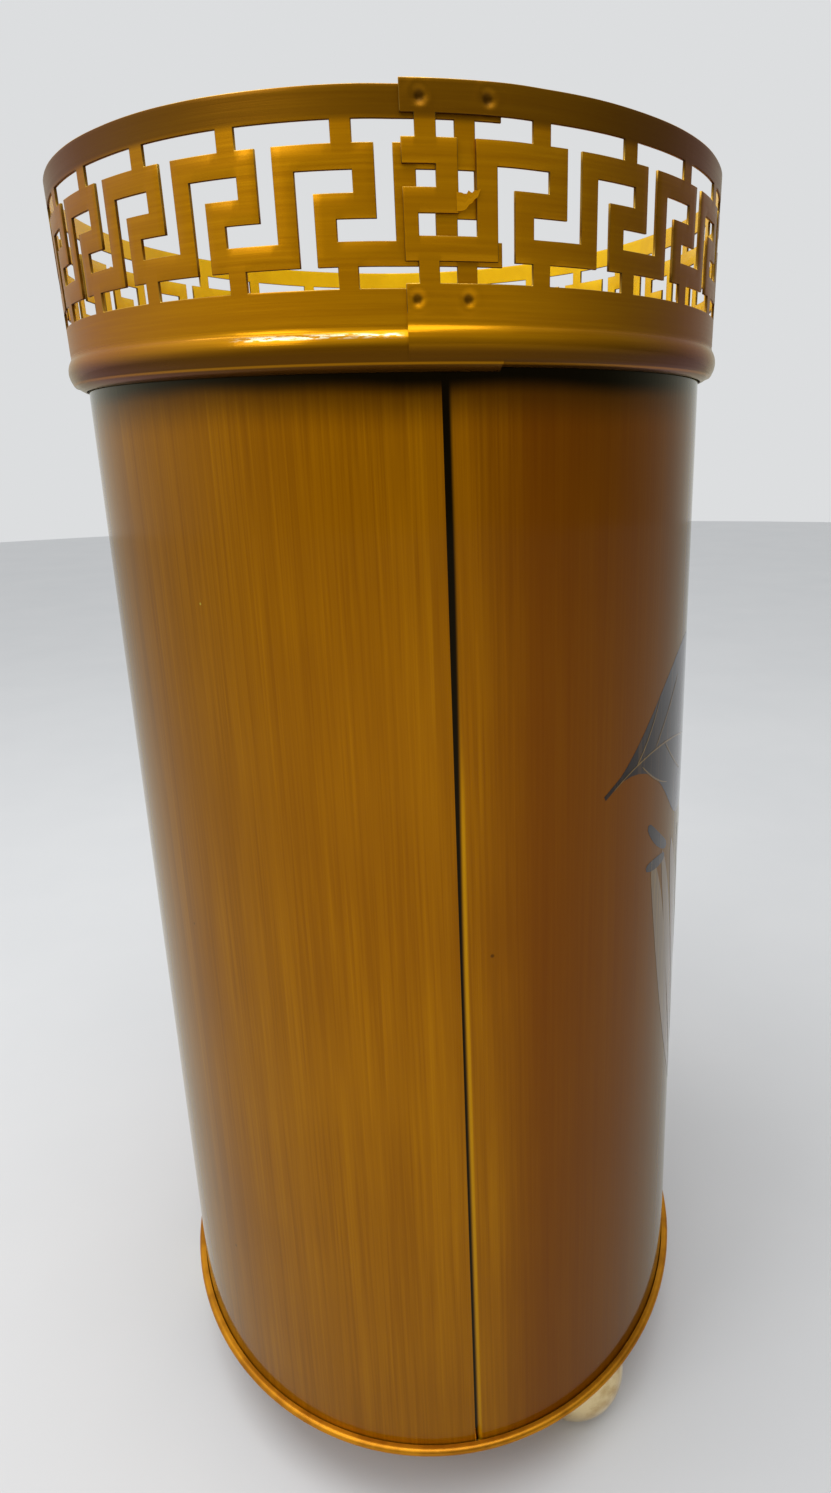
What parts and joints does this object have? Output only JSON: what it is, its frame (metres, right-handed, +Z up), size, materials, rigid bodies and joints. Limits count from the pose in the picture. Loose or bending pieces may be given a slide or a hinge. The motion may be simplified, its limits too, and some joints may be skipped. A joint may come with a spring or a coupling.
{
  "type": "umbrella stand",
  "caption": "Oval sheet-metal umbrella stand with a pierced key-pattern gallery, a rolled bead, a lapped seam, a pressed pan and ball feet.",
  "frame": {"origin": "on the ground, in the middle of the oval", "axes": "+Z up; -Y towards the narrow end with the seam and the gallery's lap; +X towards the broad side with the printed decoration"},
  "size_m": [0.2278, 0.2818, 0.461],
  "materials": {
    "body_lacquer": "antiqued lacquer, brushed upright",
    "gallery_lacquer": "antiqued lacquer, brushed lengthwise",
    "rim_gold": "gold lacquer",
    "polished_brass": "polished",
    "zinc_plate": "zinc plated",
    "print_ink": "printed decoration under the lacquer"
  },
  "bodies": {
    "root": {"body_tube": "body_lacquer", "gallery_band": "gallery_lacquer", "base_pan": "rim_gold", "foot_1": "polished_brass", "foot_screw_1": "zinc_plate", "foot_washer_1": "zinc_plate", "foot_2": "polished_brass", "foot_screw_2": "zinc_plate", "foot_washer_2": "zinc_plate", "foot_3": "polished_brass", "foot_screw_3": "zinc_plate", "foot_washer_3": "zinc_plate"}
  },
  "joints": []
}
